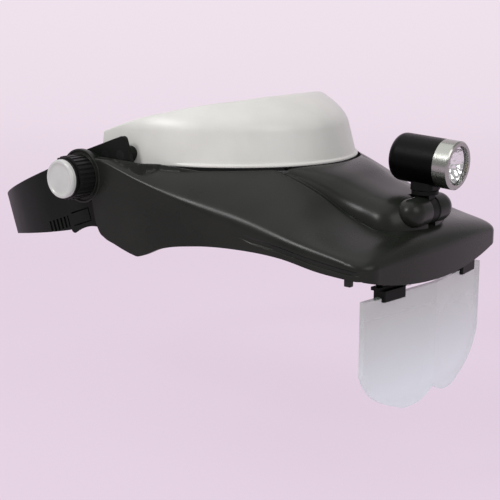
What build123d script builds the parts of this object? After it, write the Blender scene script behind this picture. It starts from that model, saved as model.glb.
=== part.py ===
from build123d import *
import os
from math import cos, radians, sin, sqrt

os.makedirs("parts", exist_ok=True)

# Lighted head magnifier. The origin is the middle of the visor's tilt axis, +Z is up,
# the brim points along -Y and the wearer's right is -X.

# Clearances, and the overrun that every cut may use
gap = 0.3
running = 0.05
overrun = 200.0
grain = 0.6

# Tilt axis, pivot lugs and visor
lug_stand = 6.9
lug_radius = 13.8
visor_wall = 2.6
visor_length = 163.3
front_half = 63.1
brim_drop = 29.4
rim_top = 5.8
rim_rise = 27.0
fascia_low = 43.4
fascia_corner = 35.0
corner_radius = 7.0
front_bow = 3.4
wing_low = 37.4
rim_gap = 2.6

# Headband
band_slope = 19.0
plate_half = 72.0
plate_depth = 97.0
plate_start = 3.2
plate_low = 7.0
plate_high = 40.0
plate_end_high = 22.0
plate_wall = 1.8
plate_lip = 1.0
lip_height = 1.2
plate_lean = 0.3
plate_roll = 9.0
roll_height = 12.0
pad_height = 20.0
pad_depth = 10.0
pad_middle = 18.0
rivet_radius = 1.5
rivet_head_radius = 2.7
rivet_head_height = 1.0
plate_boss_radius = 4.2
boss_reach_share = 0.8

# Side arms with the strap guides
arm_stand = 5.1
arm_wall = 2.2
arm_front = 30.5
arm_top = 12.7
arm_nose_low = 12.0
arm_middle_low = 28.4
guide_low = 26.2
guide_end = 25.0
guide_start = 3.0
guide_wall = 1.3
arm_corner = 2.5
boss_radius = 12.0
boss_height = 1.9

# Rear strap and the ratchet pawls that bite into it
pawl_length = 12.5
pawl_slit = 0.7
pawl_place_share = 0.6
strap_wall = 2.2
strap_straight = 40.0
strap_sweep = 84.0
strap_low = 24.4
strap_rear_high = 8.0
strap_rear_low = 15.0
strap_shoulder = 8.0
tongue_end = 6.0
tongue_top = 2.0
tooth_pitch = 3.0
tooth_depth = 0.9
tooth_height = 6.0
tooth_count = 14
tooth_rise_share = 0.85

# Pivot hardware and side knobs
bolt_radius = 2.5
bolt_head_radius = 4.6
bolt_head_height = 1.6
washer_radius = 9.0
knob_base_radius = 11.2
knob_base_length = 9.4
knob_cap_radius = 9.8
knob_cap_length = 4.8
knob_flutes = 28
flute_radius = 0.7
knob_nut_radius = 4.2
knob_nut_length = 5.0
lug_groove_depth = 0.8
lug_groove_width = 1.0

# Hinge barrel on top of the brim and the lamp bracket in it
barrel_y = -151.5
barrel_z = -12.0
hinge_radius = 7.3
hinge_half = 19.0
slot_half = 3.3
slot_reach = 20.0
slot_rise = 12.0
knuckle_radius = 6.9
tilt_screw_radius = 1.6
tilt_screw_end = 14.0
tilt_head_radius = 2.9
tilt_head_height = 2.0
neck_half = 4.0
disc_radius = 6.6
disc_height = 1.8
swivel_radius = 1.6
swivel_depth = 7.1
swivel_head_radius = 3.0
swivel_head_height = 1.0
shoe_length = 12.0
shoe_width = 12.0
shoe_height = 5.9
shoe_corner = 3.0

# Lens plate, and the clips it hangs in
lens_half = 55.1
lens_edge_y = -154.0
lens_ridge = 6.0
lens_top = -46.7
lens_height = 58.8
lens_middle = 52.3
lens_wall = 2.8
lens_bulge = 1.1
lobe_radius = 22.5
lobe_x = 27.5
lobe_drop = 31.3
tab_height = 2.6
tab_width = 11.0
clip_inner = 27.0
clip_width = 16.5
clip_lip = 2.0
clip_depth = 7.0
clip_low = -48.5
clip_block = 5.2
clip_corner = 1.0
flange_inner = 16.5
flange_outer = 45.0
flange_height = 1.6
clip_screw_x = 21.5
clip_screw_radius = 1.2
clip_screw_length = 9.0
clip_head_radius = 2.2
clip_head_height = 1.2
boss_wide_radius = 2.8
post_width = 14.0
post_depth = 5.0
nub_width = 2.6
nub_length = 3.5
nub_height = 3.0

# Lamp, measured from its front face back along its axis
lamp_face_y = -169.1
lamp_face_z = 11.1
lamp_tilt = 3.8
lamp_radius = 11.7
lamp_wall = 1.5
bezel_length = 7.9
bezel_lip = 2.3
window_radius = 9.9
window_height = 1.2
reflector_depth = 4.8
reflector_wall = 0.7
led_radius = 2.3
led_height = 2.6
board_height = 1.0
contact_height = 2.8
contact_wall = 0.4
contact_radius = 7.6
cell_radius = 5.8
cell_height = 3.05
cell_count = 3
cell_apart = 0.1
sleeve_length = 10.8
barrel_length = 17.1
tail_length = 8.4
tail_round = 4.2
tail_wall = 2.2
switch_height = 3.2
switch_nose_radius = 2.0
stem_radius = 2.6
stem_length = 2.2
collar_radius = 4.6
collar_height = 0.9
button_radius = 3.4
button_proud = 1.0

outward_x = {"right": -1, "left": 1}
slope = radians(band_slope)
arm_face = plate_half + arm_stand
pivot_face = arm_face + lug_stand
arm_inner = arm_face - arm_wall
strap_outer = arm_inner - gap
strap_inner = strap_outer - strap_wall
guide_outer = strap_inner - gap
guide_inner = guide_outer - guide_wall
wing_inner = pivot_face - visor_wall
strap_high = arm_top - guide_wall - gap
band_across = Vector(0, cos(slope), -sin(slope))
band_up = Vector(0, sin(slope), cos(slope))


def band_side(x):
    """Side plane at x whose own axes run back along the band and up across it."""
    return Plane(origin=(x, 0, 0), x_dir=band_across, z_dir=(1, 0, 0))


def side_plane(x):
    """Plane at x with Y to the right and Z up."""
    return Plane.YZ.offset(x)


def turned(points, plane, axis):
    """Round piece turned about an axis from a closed profile."""
    with BuildPart() as piece:
        with BuildSketch(plane):
            with BuildLine():
                Polyline(*points, close=True)
            make_face()
        revolve(axis=axis)
    return piece


def save(piece, name):
    """Label one finished piece and write its file."""
    piece.part.label = name
    export_step(piece.part, "parts/" + name + ".step")


# Forehead plate: a moulded band round the forehead that leans back as it rises. Its plan is
# half an ellipse and its top edge falls away towards the arms.
plate_y = -plate_start
plate_reach = plate_start + plate_depth


def plate_oval(z, grow):
    """Ellipse of the plate's outer face at one height, grown by a given width."""
    roll = plate_roll * max(0, 1 - (plate_high - z) / roll_height) ** 2
    lean = (z - plate_low) * plate_lean + roll
    with BuildSketch(Plane.XY.offset(z)) as oval:
        with Locations((0, plate_y)):
            Ellipse(plate_half - lean / 2 + grow, plate_depth - lean + grow)
    return oval.sketch


rivet_place_shares = ((0.8, 0.3), (0.45, 0.5))
rivet_places = [(-arm_front * along, arm_top * high) for along, high in rivet_place_shares]
plate_top_shares = ((0.0, 0.0), (0.24, 0.433), (0.441, 0.722), (0.599, 0.867), (0.705, 0.955), (1.0, 1.0))
plate_fall = plate_high - plate_end_high
plate_top_line = [
    (plate_y - along * plate_depth, plate_end_high + rise * plate_fall) for along, rise in plate_top_shares
]
height_shares = (0.0, 0.6364, 0.72, 0.79, 0.85, 0.9, 0.94, 0.975, 1.0)
plate_heights = [plate_low + share * (plate_high - plate_low) for share in height_shares]
with BuildPart() as forehead_plate:
    loft([plate_oval(z, 0) for z in plate_heights], ruled=True)
    with BuildSketch(Plane.XY.offset(plate_low)):
        with Locations((0, plate_y)):
            Ellipse(plate_half + plate_lip, plate_depth + plate_lip)
        with Locations((0, -plate_reach)):
            Rectangle(2 * plate_reach, plate_reach, mode=Mode.INTERSECT)
    extrude(amount=lip_height)
    inner_ovals = [plate_oval(z, -plate_wall) for z in (plate_low - grain, *plate_heights[1:])]
    loft(inner_ovals, ruled=True, mode=Mode.SUBTRACT)
    with BuildSketch(side_plane(0)):
        with BuildLine():
            top_edge = Spline(*plate_top_line)
            Line(top_edge @ 1, (-overrun, plate_high))
            Line((-overrun, plate_high), (-overrun, plate_low))
            Line((-overrun, plate_low), (plate_y, plate_low))
            Line((plate_y, plate_low), top_edge @ 0)
        make_face()
    extrude(amount=overrun, both=True, mode=Mode.INTERSECT)
    with BuildSketch(band_side(0)):
        with Locations(*rivet_places):
            Circle(rivet_radius)
    extrude(amount=overrun, both=True, mode=Mode.SUBTRACT)
save(forehead_plate, "forehead_plate")


# Foam pad behind the plate: a crowned strip, drawn in along its long sides and thinned to its ends
pad_turns = (-60, -54, -42, -22, 0, 22, 42, 54, 60)
pad_height_shares = (0.42, 0.8, 1.0, 0.96, 0.93, 0.96, 1.0, 0.8, 0.42)
pad_depth_shares = (0.3, 0.75, 0.97, 1.0, 1.0, 1.0, 0.97, 0.75, 0.3)
crown_shares = ((0.0, 0.5), (0.45, 0.49), (0.8, 0.36), (1.0, 0.0))


def plate_inside(turn, z):
    """Point of the plate's inner face at one turn from the front and one height."""
    lean = (z - plate_low) * plate_lean
    half = plate_half - lean / 2 - plate_wall
    depth = plate_depth - lean - plate_wall
    return Vector(half * sin(radians(turn)), plate_y - depth * cos(radians(turn)), z)


def pad_section(turn, height, depth):
    """Crowned cross-section of the pad, square to the plate at one turn."""
    up = (plate_inside(turn, plate_high) - plate_inside(turn, plate_low)).normalized()
    along = (plate_inside(turn + 1, pad_middle) - plate_inside(turn - 1, pad_middle)).normalized()
    inward = along.cross(up) * -1
    seat = plate_inside(turn, pad_middle) + inward * gap
    upper = [(deep * depth, high * height) for deep, high in crown_shares]
    lower = [(deep, -high) for deep, high in upper]
    with BuildSketch(Plane(origin=seat, x_dir=inward, z_dir=inward.cross(up))) as section:
        with BuildLine():
            Line(lower[0], upper[0])
            ThreePointArc(upper[0], upper[1], upper[2])
            ThreePointArc(upper[2], upper[3], lower[2])
            ThreePointArc(lower[2], lower[1], lower[0])
        make_face()
    return section.sketch


with BuildPart() as forehead_pad:
    loft(
        [
            pad_section(turn, pad_height * high, pad_depth * deep)
            for turn, high, deep in zip(pad_turns, pad_height_shares, pad_depth_shares)
        ]
    )
save(forehead_pad, "forehead_pad")


# Side arms: flat moulded plates that carry the strap guides, the pivot bosses and the bosses
# that the forehead plate is riveted to.
tooth_middle = tooth_height * tooth_rise_share - strap_low
pawl_middle = guide_end * pawl_place_share


def side_arm(side):
    """One arm, on the wearer's right for side -1."""
    with BuildPart() as arm:
        with BuildSketch(band_side(side * arm_inner)):
            with BuildLine():
                Polyline(
                    (-arm_front, arm_top),
                    (guide_end, arm_top),
                    (guide_end, -guide_low),
                    (guide_start, -arm_middle_low),
                    (-arm_front / 2, -arm_middle_low + arm_corner),
                    (-arm_front, -arm_nose_low),
                    close=True,
                )
            make_face()
        extrude(amount=side * arm_wall)
        fillet(arm.edges().filter_by(Axis.X), radius=arm_corner)
        guide_middle = (guide_start + guide_end) / 2
        guide_length = guide_end - guide_start
        with BuildSketch(band_side(side * guide_inner)):
            with Locations((guide_middle, arm_top - guide_wall / 2)):
                Rectangle(guide_length, guide_wall)
            with Locations((guide_middle, -guide_low + guide_wall / 2)):
                Rectangle(guide_length, guide_wall)
        extrude(amount=side * (arm_inner - guide_inner))
        with BuildSketch(band_side(side * guide_inner)):
            with Locations((guide_middle, (arm_top - guide_low) / 2)):
                Rectangle(guide_length, arm_top + guide_low)
        extrude(amount=side * guide_wall)
        with BuildSketch(band_side(side * arm_face)):
            Circle(boss_radius)
        extrude(amount=side * boss_height)
        with BuildSketch(band_side(side * arm_inner)):
            with Locations(*rivet_places):
                Circle(plate_boss_radius)
        extrude(amount=-side * (arm_inner - plate_half * boss_reach_share))
        plate_ends = [plate_oval(plate_low - overrun / 4, 0), plate_oval(plate_high - roll_height, 0)]
        loft(plate_ends, ruled=True, mode=Mode.SUBTRACT)
    return arm


def cut_arm(arm, side):
    """Bolt hole with its head recess, rivet holes and the slits that free the ratchet pawl."""
    with BuildPart() as cut:
        add(arm.part)
        with BuildSketch(band_side(0)):
            Circle(bolt_radius)
        extrude(amount=side * overrun, mode=Mode.SUBTRACT)
        with BuildSketch(band_side(side * arm_inner)):
            Circle(bolt_head_radius)
        extrude(amount=side * bolt_head_height, mode=Mode.SUBTRACT)
        with BuildSketch(band_side(0)):
            with Locations(*rivet_places):
                Circle(rivet_radius)
        extrude(amount=side * overrun, mode=Mode.SUBTRACT)
        with BuildSketch(band_side(side * (arm_face - rivet_head_height))):
            with Locations(*rivet_places):
                Circle(rivet_head_radius)
        extrude(amount=side * rivet_head_height, mode=Mode.SUBTRACT)
        with BuildSketch(band_side(side * arm_inner)):
            with Locations((pawl_middle, tooth_middle)):
                Rectangle(pawl_length + 2 * pawl_slit, tooth_height + 2 * pawl_slit)
            with Locations((pawl_middle + pawl_slit, tooth_middle)):
                Rectangle(pawl_length + 2 * pawl_slit, tooth_height, mode=Mode.SUBTRACT)
        extrude(amount=side * arm_wall, mode=Mode.SUBTRACT)
    return cut


side_arms = {name: cut_arm(side_arm(side), side) for name, side in outward_x.items()}
for name, arm in side_arms.items():
    save(arm, "side_arm_" + name)


# Rivets that hold the plate to the arms: a flush head outside and a set head inside the plate
with BuildPart() as arm_rivets:
    for side in outward_x.values():
        for across, up in rivet_places:
            rivet_y = (band_across * across + band_up * up).Y
            rivet_z = (band_across * across + band_up * up).Z
            rivet_lean = (rivet_z - plate_low) * plate_lean
            inner_depth = plate_depth - rivet_lean - plate_wall
            rivet_share = sqrt(1 - ((rivet_y - plate_y) / inner_depth) ** 2)
            set_face = (plate_half - rivet_lean / 2 - plate_wall) * rivet_share - 2 * gap
            with BuildSketch(band_side(side * (arm_face - rivet_head_height))):
                with Locations((across, up)):
                    Circle(rivet_head_radius)
            extrude(amount=side * rivet_head_height)
            with BuildSketch(band_side(side * (arm_face - rivet_head_height))):
                with Locations((across, up)):
                    Circle(rivet_radius)
            extrude(amount=side * (set_face - arm_face))
            with BuildSketch(band_side(side * set_face)):
                with Locations((across, up)):
                    Circle(rivet_head_radius)
            extrude(amount=-side * rivet_head_height)
save(arm_rivets, "arm_rivets")

# Rear strap: one moulded strip round the back of the head. Its wide ends run straight and
# parallel in the arm guides, with a tongue along the bottom edge that carries ratchet grooves.
band_plane = Plane(origin=(0, 0, 0), x_dir=(1, 0, 0), z_dir=band_up)
strap_end = strap_straight + strap_sweep
strap_top_shares = ((0.0, 0.0), (0.62, 0.8), (1.0, 1.0))
strap_low_shares = ((0.0, 0.0), (0.3, 0.42), (0.62, 0.88), (1.0, 1.0))

with BuildPart() as rear_strap:
    with BuildSketch(band_plane.offset(-strap_low)):
        with Locations((0, (strap_straight - tongue_end) / 2)):
            Rectangle(2 * strap_outer, strap_straight + tongue_end)
        with Locations((0, strap_straight)):
            Ellipse(strap_outer, strap_sweep)
    extrude(amount=strap_low + strap_high)
    with BuildSketch(band_plane.offset(-strap_low)):
        with Locations((0, (strap_straight - tongue_end) / 2)):
            Rectangle(2 * strap_inner, strap_straight + tongue_end)
        with Locations((0, strap_straight)):
            Ellipse(strap_inner, strap_sweep - strap_wall)
    extrude(amount=strap_low + strap_high, mode=Mode.SUBTRACT)
    with BuildSketch(band_side(0)):
        with BuildLine():
            high_fall = strap_high - strap_rear_high
            low_rise = strap_low - strap_rear_low
            taper = strap_end - guide_end
            top_edge = Spline(
                *[
                    (guide_end + along * taper, strap_high - fall * high_fall)
                    for along, fall in strap_top_shares
                ]
            )
            low_edge = Spline(
                *[
                    (guide_end + along * taper, rise * low_rise - strap_low)
                    for along, rise in strap_low_shares
                ]
            )
            Line(top_edge @ 1, low_edge @ 1)
            Polyline(
                top_edge @ 0,
                (strap_shoulder, strap_high),
                (strap_shoulder, -tongue_top),
                (-tongue_end, -tongue_top),
                (-tongue_end, -strap_low),
                low_edge @ 0,
            )
        make_face()
    extrude(amount=overrun, both=True, mode=Mode.INTERSECT)
    for side in outward_x.values():
        with BuildSketch(band_side(side * (strap_outer - tooth_depth))):
            for tooth in range(tooth_count):
                with Locations((strap_shoulder / 2 + tooth * tooth_pitch, tooth_middle)):
                    Rectangle(tooth_pitch / 2, tooth_height)
        extrude(amount=side * tooth_depth, mode=Mode.SUBTRACT)
save(rear_strap, "rear_strap")


# Pivot hardware of each side: a bolt from inside the arm, a friction washer between the arm
# boss and the visor lug, and a knob that clamps them.
washer_face = wing_inner - gap
knob_foot = pivot_face + gap
knob_cap_foot = knob_foot + knob_base_length
knob_top = knob_cap_foot + knob_cap_length
bolt_end = knob_cap_foot - gap

for name, side in outward_x.items():
    pivot_bolt = turned(
        [
            (side * arm_inner, 0),
            (side * arm_inner, bolt_head_radius),
            (side * (arm_inner + bolt_head_height), bolt_head_radius),
            (side * (arm_inner + bolt_head_height), bolt_radius),
            (side * bolt_end, bolt_radius),
            (side * bolt_end, 0),
        ],
        Plane.XY,
        Axis.X,
    )
    save(pivot_bolt, "pivot_bolt_" + name)

    washer_foot = arm_face + boss_height
    pivot_washer = turned(
        [
            (side * washer_foot, bolt_radius),
            (side * washer_foot, washer_radius),
            (side * (washer_face - grain), washer_radius),
            (side * washer_face, washer_radius - grain),
            (side * washer_face, bolt_radius),
        ],
        Plane.XY,
        Axis.X,
    )
    save(pivot_washer, "pivot_washer_" + name)

    with BuildPart() as knob_base:
        with BuildSketch(side_plane(side * knob_foot)):
            Circle(knob_base_radius)
            with PolarLocations(knob_base_radius, knob_flutes):
                Circle(flute_radius, mode=Mode.SUBTRACT)
        extrude(amount=side * knob_base_length)
        with BuildSketch(side_plane(side * knob_foot)):
            Circle(bolt_radius + running)
        extrude(amount=side * knob_base_length, mode=Mode.SUBTRACT)
        with BuildSketch(side_plane(side * (knob_cap_foot - knob_nut_length))):
            RegularPolygon(knob_nut_radius, 6)
        extrude(amount=side * knob_nut_length, mode=Mode.SUBTRACT)
    save(knob_base, "knob_base_" + name)

    with BuildPart() as knob_nut:
        with BuildSketch(side_plane(side * (knob_cap_foot - knob_nut_length))):
            RegularPolygon(knob_nut_radius, 6)
            Circle(bolt_radius + running, mode=Mode.SUBTRACT)
        extrude(amount=side * (knob_nut_length - gap))
    save(knob_nut, "knob_nut_" + name)

    knob_cap = turned(
        [
            (side * knob_cap_foot, 0),
            (side * knob_cap_foot, knob_cap_radius),
            (side * (knob_top - 2 * grain), knob_cap_radius),
            (side * (knob_top - grain / 2), knob_cap_radius - grain),
            (side * knob_top, knob_cap_radius - 2 * grain),
            (side * knob_top, 0),
        ],
        Plane.XY,
        Axis.X,
    )
    save(knob_cap, "knob_cap_" + name)


# Visor shell: a moulded brim with side wings and pivot lugs. Its outside and its hollow are the
# same block at two insets: cross-sections lofted from the lugs to the front, then trimmed by
# the side view and by the plan.
brim_shares = (
    (-0.098, 1.0, -0.41, 0.22),
    (0.086, 0.976, -0.31, 0.3),
    (0.22, 0.857, -0.041, 0.59),
    (0.386, 0.615, 0.264, 0.98),
    (0.557, 0.365, 0.511, 0.952),
    (0.68, 0.234, 0.671, 0.72),
    (0.765, 0.155, 0.766, 0.456),
    (0.839, 0.095, 0.841, 0.345),
    (0.919, 0.044, 0.921, 0.322),
    (1.017, 0.0, 0.992, 0.285),
)
wing_line_shares = ((0.827, 0.894), (0.7, 0.786), (0.56, 0.749), (0.42, 0.771), (0.3, 0.864))
wing_tip_shares = ((0.236, 0.985), (0.22, 1.0), (0.203, 0.985))
wing_back_shares = ((0.133, 0.874), (0.071, 0.714))
roll_shares = ((0.925, 0.605), (0.977, 0.731), (1.0, 1.054))
lug_top_shares = ((0.086, 0.74), (0.165, 0.48))
fascia_share = 0.935
lug_turn = 235


def back(share):
    """Y of a place given as a share of the visor's length."""
    return -share * visor_length


def brim_section(shares, inset):
    """One cross-section of the brim: upright sides under half an ellipse."""
    along, wide, low, high = shares
    half = front_half + wide * (pivot_face - front_half) - inset
    edge = -low * brim_drop
    foot = -overrun / 2
    with BuildSketch(Plane.XZ.offset(-back(along))) as section:
        with BuildLine():
            EllipticalCenterArc((0, edge), half, high * (rim_rise - inset), start_angle=0, arc_size=180)
            Polyline((-half, edge), (-half, foot), (half, foot), (half, edge))
        make_face()
    return section.sketch


def visor_block(inset, floor):
    """The visor as a block: its outside at inset 0, its hollow at the wall's inset."""
    with BuildPart() as block:
        loft([brim_section(shares, inset) for shares in brim_shares])
        with BuildSketch(side_plane(0)):
            with BuildLine():
                roll = [
                    (back(along) + inset * (along > roll_shares[0][0]), -low * brim_drop - inset)
                    for along, low in roll_shares
                ]
                Polyline(
                    (overrun, rim_top + 2 * lug_radius - inset),
                    (back(lug_top_shares[0][0]), rim_top + 2 * lug_radius - inset),
                    (back(lug_top_shares[1][0]), rim_top - inset),
                    (back(brim_shares[5][0]), rim_top - inset),
                    (back(brim_shares[7][0]), -brim_shares[5][2] * brim_drop / 2 - inset),
                    roll[0],
                )
                ThreePointArc(roll[0], roll[1], roll[2])
                Polyline(
                    roll[2],
                    (roll[2][0], floor),
                    (overrun, floor),
                    (overrun, rim_top + 2 * lug_radius - inset),
                )
            make_face()
        extrude(amount=overrun, both=True, mode=Mode.INTERSECT)
        with BuildSketch(Plane.XY) as plan:
            with BuildLine():
                front_side = back(1.0) + front_bow
                ThreePointArc(
                    (-front_half - grain - inset, front_side + inset),
                    (0, back(1.0) + inset),
                    (front_half + grain + inset, front_side + inset),
                )
                Polyline(
                    (front_half + grain + inset, front_side + inset),
                    (front_half + 4 * grain, back(brim_shares[7][0])),
                    (pivot_face + 4 * grain, back(brim_shares[3][0])),
                    (pivot_face + 4 * grain, overrun),
                    (-pivot_face - 4 * grain, overrun),
                    (-pivot_face - 4 * grain, back(brim_shares[3][0])),
                    (-front_half - 4 * grain, back(brim_shares[7][0])),
                    (-front_half - grain - inset, front_side + inset),
                )
            make_face()
            fillet(plan.vertices().group_by(Axis.Y)[0], radius=corner_radius - inset)
        extrude(amount=overrun, both=True, mode=Mode.INTERSECT)
    return block


outside = visor_block(0, -overrun / 4)
hollow = visor_block(visor_wall, -overrun / 3)
side_view = (
    (back(fascia_share), -fascia_corner),
    *[(back(along), -low * wing_low) for along, low in wing_line_shares],
    (back(wing_tip_shares[0][0]), -wing_tip_shares[0][1] * wing_low),
)
lug_foot = (lug_radius * cos(radians(lug_turn)), lug_radius * sin(radians(lug_turn)))

# Ridge in the middle of the brim: a ramp from the rim to the hinge barrel of the lamp bracket
ridge_shares = (
    (0.612, 1.74, -0.23, 2.16, 0.2),
    (0.686, 1.39, -0.14, 1.79, 0.32),
    (0.759, 1.08, 0.03, 1.42, 0.544),
    (0.833, 0.87, 0.135, 1.24, 0.68),
    (0.906, 0.72, 0.204, 1.09, 0.714),
)


def ridge_block(inset, sink, sections):
    """The ridge as a block: its outside, or at an inset its hollow."""
    with BuildPart() as ridge:
        for along, top_wide, top_low, foot_wide, foot_low in sections:
            top_half = top_wide * hinge_half - inset
            foot_half = foot_wide * hinge_half - inset
            top_z = -top_low * brim_drop - inset
            foot_z = -foot_low * brim_drop
            with BuildSketch(Plane.XZ.offset(-back(along))):
                with BuildLine():
                    Polyline(
                        (-foot_half, foot_z - sink),
                        (foot_half, foot_z - sink),
                        (foot_half, foot_z),
                        (top_half, top_z),
                        (-top_half, top_z),
                        (-foot_half, foot_z),
                        close=True,
                    )
                make_face()
        loft(ruled=True)
    return ridge


ridge_outside = ridge_block(0, visor_wall, ridge_shares)
ridge_hollow = ridge_block(visor_wall, brim_drop / 2, ridge_shares[:4])


def block(x_ends, y_ends, z_ends):
    """Plain block between two values on each axis."""
    with BuildPart() as piece:
        with BuildSketch(Plane.XY.offset(min(z_ends))):
            with Locations((sum(x_ends) / 2, sum(y_ends) / 2)):
                Rectangle(abs(x_ends[1] - x_ends[0]), abs(y_ends[1] - y_ends[0]))
        extrude(amount=abs(z_ends[1] - z_ends[0]))
    return piece


with BuildPart() as hinge_barrel:
    with BuildSketch(side_plane(0)):
        with Locations((barrel_y, barrel_z)):
            Circle(hinge_radius)
    extrude(amount=hinge_half, both=True)
    fillet(hinge_barrel.edges(), radius=visor_wall)

slot_radius = knuckle_radius + 2 * gap

# Room that the forehead plate and the arms need while the visor swings up past them
with BuildPart() as swing_room:
    with BuildSketch(Plane.XY):
        with Locations((0, plate_y)):
            Ellipse(plate_half + rim_gap, plate_depth + rim_gap)
        with Locations((0, overrun / 2)):
            Rectangle(2 * overrun, overrun, mode=Mode.SUBTRACT)
    revolve(axis=Axis.X)
    with BuildSketch(side_plane(0)):
        Circle(sqrt(arm_front**2 + arm_top**2) + 2)
    extrude(amount=arm_face + gap, both=True)

# The lens plate is a shallow V in plan. Each half has a plane of its own, with one axis out
# along the half and one back through it, that the clips and their posts follow too.
lens_ridge_y = lens_edge_y - lens_ridge
lens_run = sqrt(lens_half**2 + lens_ridge**2)
half_out = {
    side: Vector(side * lens_half / lens_run, lens_ridge / lens_run, 0) for side in outward_x.values()
}
clip_top = clip_low + clip_block
flange_top = clip_top + flange_height


def half_plane(side, z):
    """Level plane of one lens half: x out along it from the middle, y square to it."""
    return Plane(origin=(0, lens_ridge_y, z), x_dir=half_out[side], z_dir=(0, 0, 1))


def half_block(side, out_ends, deep_ends, z_ends):
    """Plain block in the plane of one lens half, measured out along it and back through it."""
    with BuildPart() as piece:
        with BuildSketch(half_plane(side, min(z_ends))):
            with Locations((sum(out_ends) / 2, side * sum(deep_ends) / 2)):
                Rectangle(abs(out_ends[1] - out_ends[0]), abs(deep_ends[1] - deep_ends[0]))
        extrude(amount=abs(z_ends[1] - z_ends[0]))
    return piece


# Posts and screw bosses for the clips, and the nubs at the front corners
clip_outer = clip_inner + clip_width
clip_rear = clip_depth - clip_lip
clip_middle = clip_inner + clip_width / 2
screw_deep = clip_rear - boss_wide_radius
nub_outer = front_half + grain / 2
post_blocks = {
    side: half_block(
        side,
        (clip_middle - post_width / 2, clip_middle + post_width / 2),
        (clip_rear - post_depth, clip_rear),
        (flange_top, 0),
    )
    for side in outward_x.values()
}
nubs = {
    side: block(
        (side * (nub_outer - nub_width), side * nub_outer),
        (barrel_y, barrel_y + nub_length),
        (-fascia_corner - nub_height, -fascia_corner + nub_height),
    )
    for side in outward_x.values()
}
with BuildPart() as posts:
    for side in outward_x.values():
        add(post_blocks[side].part)
        with BuildSketch(half_plane(side, flange_top)):
            with Locations((clip_screw_x, side * screw_deep)):
                Circle(boss_wide_radius)
        extrude(amount=-flange_top)
    add(outside.part, mode=Mode.INTERSECT)

with BuildPart() as visor_shell:
    add(outside.part)
    add(ridge_outside.part)
    add(hollow.part, mode=Mode.SUBTRACT)
    add(ridge_hollow.part, mode=Mode.SUBTRACT)
    add(posts.part)
    add(hinge_barrel.part)
    with BuildSketch(side_plane(0)):
        with BuildLine():
            low_line = Spline(*side_view)
            tip = ThreePointArc(
                low_line @ 1,
                (back(wing_tip_shares[1][0]), -wing_tip_shares[1][1] * wing_low),
                (back(wing_tip_shares[2][0]), -wing_tip_shares[2][1] * wing_low),
            )
            wing_back = Spline(
                tip @ 1,
                *[(back(along), -low * wing_low) for along, low in wing_back_shares],
                lug_foot,
            )
            Polyline(
                wing_back @ 1,
                (0, 0),
                (0, lug_radius),
                (back(lug_top_shares[0][0]), lug_top_shares[0][1] * lug_radius),
                (back(lug_top_shares[1][0]), lug_top_shares[1][1] * lug_radius),
                (back(lug_top_shares[1][0]), overrun),
                (-overrun, overrun),
                (-overrun, -fascia_low),
                (back(fascia_share), -fascia_low),
                low_line @ 0,
            )
        make_face()
        Circle(lug_radius)
    extrude(amount=overrun, both=True, mode=Mode.INTERSECT)
    with BuildSketch(Plane.XZ.offset(-back(fascia_share))):
        with BuildLine():
            Line((-overrun, -fascia_corner), (-front_half, -fascia_corner))
            ThreePointArc((-front_half, -fascia_corner), (0, -fascia_low), (front_half, -fascia_corner))
            Polyline(
                (front_half, -fascia_corner),
                (overrun, -fascia_corner),
                (overrun, -overrun),
                (-overrun, -overrun),
                (-overrun, -fascia_corner),
            )
        make_face()
    extrude(amount=overrun, mode=Mode.SUBTRACT)
    add(swing_room.part, mode=Mode.SUBTRACT)
    for side in outward_x.values():
        with BuildSketch(side_plane(side * (wing_inner - overrun / 2))):
            Circle(lug_radius + grain)
        extrude(amount=side * overrun / 2, mode=Mode.SUBTRACT)
        with BuildSketch(side_plane(side * pivot_face)):
            Rectangle(2 * overrun, overrun)
        extrude(amount=side * overrun / 2, mode=Mode.SUBTRACT)
        with BuildSketch(side_plane(side * wing_inner)):
            Circle(lug_radius)
        extrude(amount=side * visor_wall)
        with BuildSketch(side_plane(side * (pivot_face - lug_groove_depth))):
            Circle(knob_base_radius + gap + lug_groove_width)
            Circle(knob_base_radius + gap, mode=Mode.SUBTRACT)
        extrude(amount=side * lug_groove_depth, mode=Mode.SUBTRACT)
        with BuildSketch(side_plane(side * wing_inner)):
            Circle(bolt_radius + running)
        extrude(amount=side * visor_wall, mode=Mode.SUBTRACT)
        add(nubs[side].part)
        with BuildSketch(half_plane(side, flange_top)):
            with Locations((clip_screw_x, side * screw_deep)):
                Circle(clip_screw_radius)
        extrude(amount=clip_screw_length, mode=Mode.SUBTRACT)
    with BuildSketch(side_plane(0)):
        with Locations((barrel_y, barrel_z)):
            Circle(slot_radius)
        with Locations((barrel_y + (slot_radius - slot_reach) / 2, barrel_z + slot_rise / 2)):
            Rectangle(slot_radius + slot_reach, slot_rise)
    extrude(amount=slot_half, both=True, mode=Mode.SUBTRACT)
    with BuildSketch(side_plane(-tilt_screw_end - gap)):
        with Locations((barrel_y, barrel_z)):
            Circle(tilt_screw_radius)
    extrude(amount=tilt_screw_end + gap + hinge_half, mode=Mode.SUBTRACT)
    with BuildSketch(side_plane(hinge_half)):
        with Locations((barrel_y, barrel_z)):
            Circle(tilt_head_radius + gap)
    extrude(amount=-tilt_head_height - gap, mode=Mode.SUBTRACT)
save(visor_shell, "visor_shell")


# Screw across the hinge barrel: the lamp bracket tilts on it
with BuildPart() as tilt_screw:
    with BuildSketch(side_plane(hinge_half - gap)):
        with Locations((barrel_y, barrel_z)):
            Circle(tilt_head_radius)
    extrude(amount=-tilt_head_height)
    with BuildSketch(side_plane(hinge_half - gap)):
        with Locations((barrel_y, barrel_z)):
            Circle(tilt_screw_radius)
    extrude(amount=gap - hinge_half - tilt_screw_end)
save(tilt_screw, "tilt_screw")


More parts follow.
